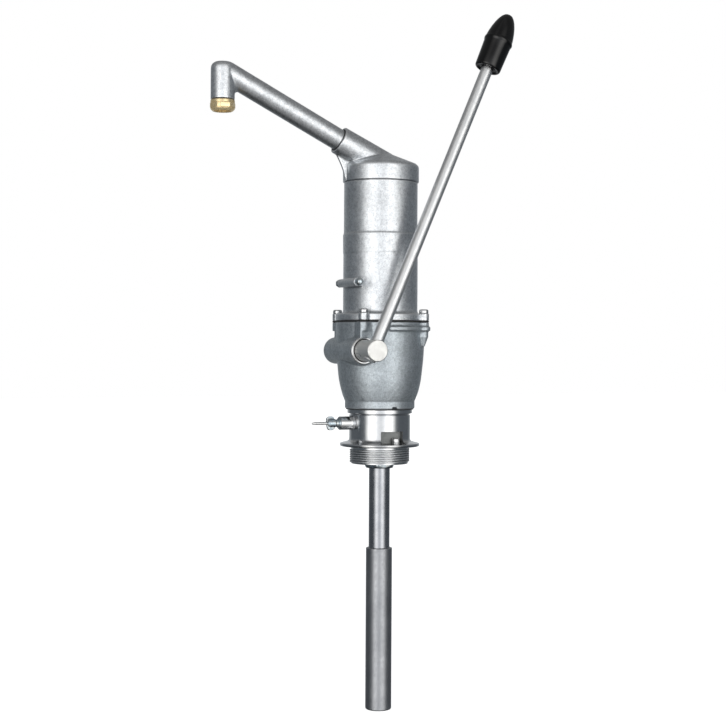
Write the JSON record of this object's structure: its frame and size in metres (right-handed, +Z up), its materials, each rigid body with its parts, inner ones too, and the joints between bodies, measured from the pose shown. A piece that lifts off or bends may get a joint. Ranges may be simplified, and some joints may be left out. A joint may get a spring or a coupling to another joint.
{
  "type": "hand well pump",
  "caption": "Hand well pump: side lever on a crank shaft lifts a rod and piston below ground; cast head with swivelling spout, threaded well flange and drain cock.",
  "frame": {"origin": "centre of the underside of the round flange that rests on the well pipe, on the pump axis", "axes": "+Z up the pump axis; the lever shaft's outer end points to -Y; the spout points to -X; the lever leans to +X"},
  "size_m": [0.3966, 0.1585, 0.9285],
  "materials": {
    "cast_aluminium": "sand-cast, tumbled satin, fine speckle",
    "machined_aluminium": "turned, satin bright",
    "bright_steel": "drawn and ground, bright",
    "tube_steel": "drawn stainless tube",
    "zinc_steel": "blue-white zinc plate",
    "brass": "turned, polished",
    "bronze": "cast bronze, machined",
    "black_rubber": "moulded, matt",
    "grip_plastic": "moulded, satin gloss",
    "nylon": "machined nylon"
  },
  "bodies": {
    "head": {"upper_casing": "cast_aluminium", "casing_stay_bolt": "zinc_steel", "casing_stay_nut": "zinc_steel", "cap_seal": "black_rubber", "cap_snap_ring": "bright_steel", "flange_gasket": "black_rubber", "flange_bolts": "bright_steel", "pump_bowl": "cast_aluminium", "front_bush": "bronze", "rear_bush": "bronze", "shaft_seal": "black_rubber", "bowl_seal": "black_rubber", "neck_base": "machined_aluminium", "lock_screw": "bright_steel", "rod_guide": "machined_aluminium", "guide_bush": "nylon", "riser_nut": "zinc_steel", "riser_pipe": "bright_steel", "cylinder_head": "tube_steel", "cylinder_tube": "tube_steel", "foot_valve_body": "bronze", "intake_strainer": "tube_steel", "drain_body": "zinc_steel"},
    "spout": {"spout_cap": "cast_aluminium", "spout_pipe": "cast_aluminium", "spout_seal": "black_rubber", "nozzle_washer": "black_rubber", "nozzle_ring": "brass"},
    "lever": {"crank_shaft": "bright_steel", "lever_hub": "bright_steel", "hub_pin": "zinc_steel", "lever_rod": "bright_steel", "lever_grip": "grip_plastic", "crank_arm": "tube_steel", "crank_cotter": "bright_steel", "crank_pin": "bright_steel"},
    "rod": {"crosshead": "bronze", "pump_rod": "bright_steel", "valve_stop": "bronze", "piston_body": "bronze", "piston_cups": "black_rubber", "piston_nut": "bright_steel"},
    "piston_valve": {"piston_valve": "black_rubber"},
    "foot_valve": {"foot_valve_poppet": "bronze"},
    "drain_nut": {"drain_nut": "zinc_steel"},
    "drain_needle": {"drain_needle": "bright_steel"}
  },
  "joints": [
    {"name": "lever_hinge", "type": "hinge", "parent": "head", "child": "lever", "pos_m": [-0.0445, 0, 0.1278], "axis": [0, 1, 0], "range_deg": [-60, 0]},
    {"name": "rod_slide", "type": "slide", "parent": "head", "child": "rod", "axis": [0, 0, 1], "range_m": [0, 0.0443]},
    {"name": "spout_swivel", "type": "hinge", "parent": "head", "child": "spout", "pos_m": [0, 0, 0.3524], "axis": [0, 0, 1], "range_deg": [-180, 15]},
    {"name": "piston_valve_lift", "type": "slide", "parent": "rod", "child": "piston_valve", "axis": [0, 0, 1], "range_m": [0, 0.0028]},
    {"name": "foot_valve_lift", "type": "slide", "parent": "head", "child": "foot_valve", "axis": [0, 0, 1], "range_m": [0, 0.0038]},
    {"name": "drain_nut_turn", "type": "hinge", "parent": "head", "child": "drain_nut", "pos_m": [-0.07, 0, 0.0316], "axis": [-1, 0, 0], "range_deg": [0, 720]},
    {"name": "drain_needle_slide", "type": "slide", "parent": "head", "child": "drain_needle", "axis": [-1, 0, 0], "range_m": [0, 0.002]}
  ],
  "couplings": [
    {"joint": "rod_slide", "follows": "lever_hinge", "m_per_rad": -0.0422},
    {"joint": "drain_nut_turn", "follows": "drain_needle_slide", "rad_per_m": 6283.2}
  ]
}
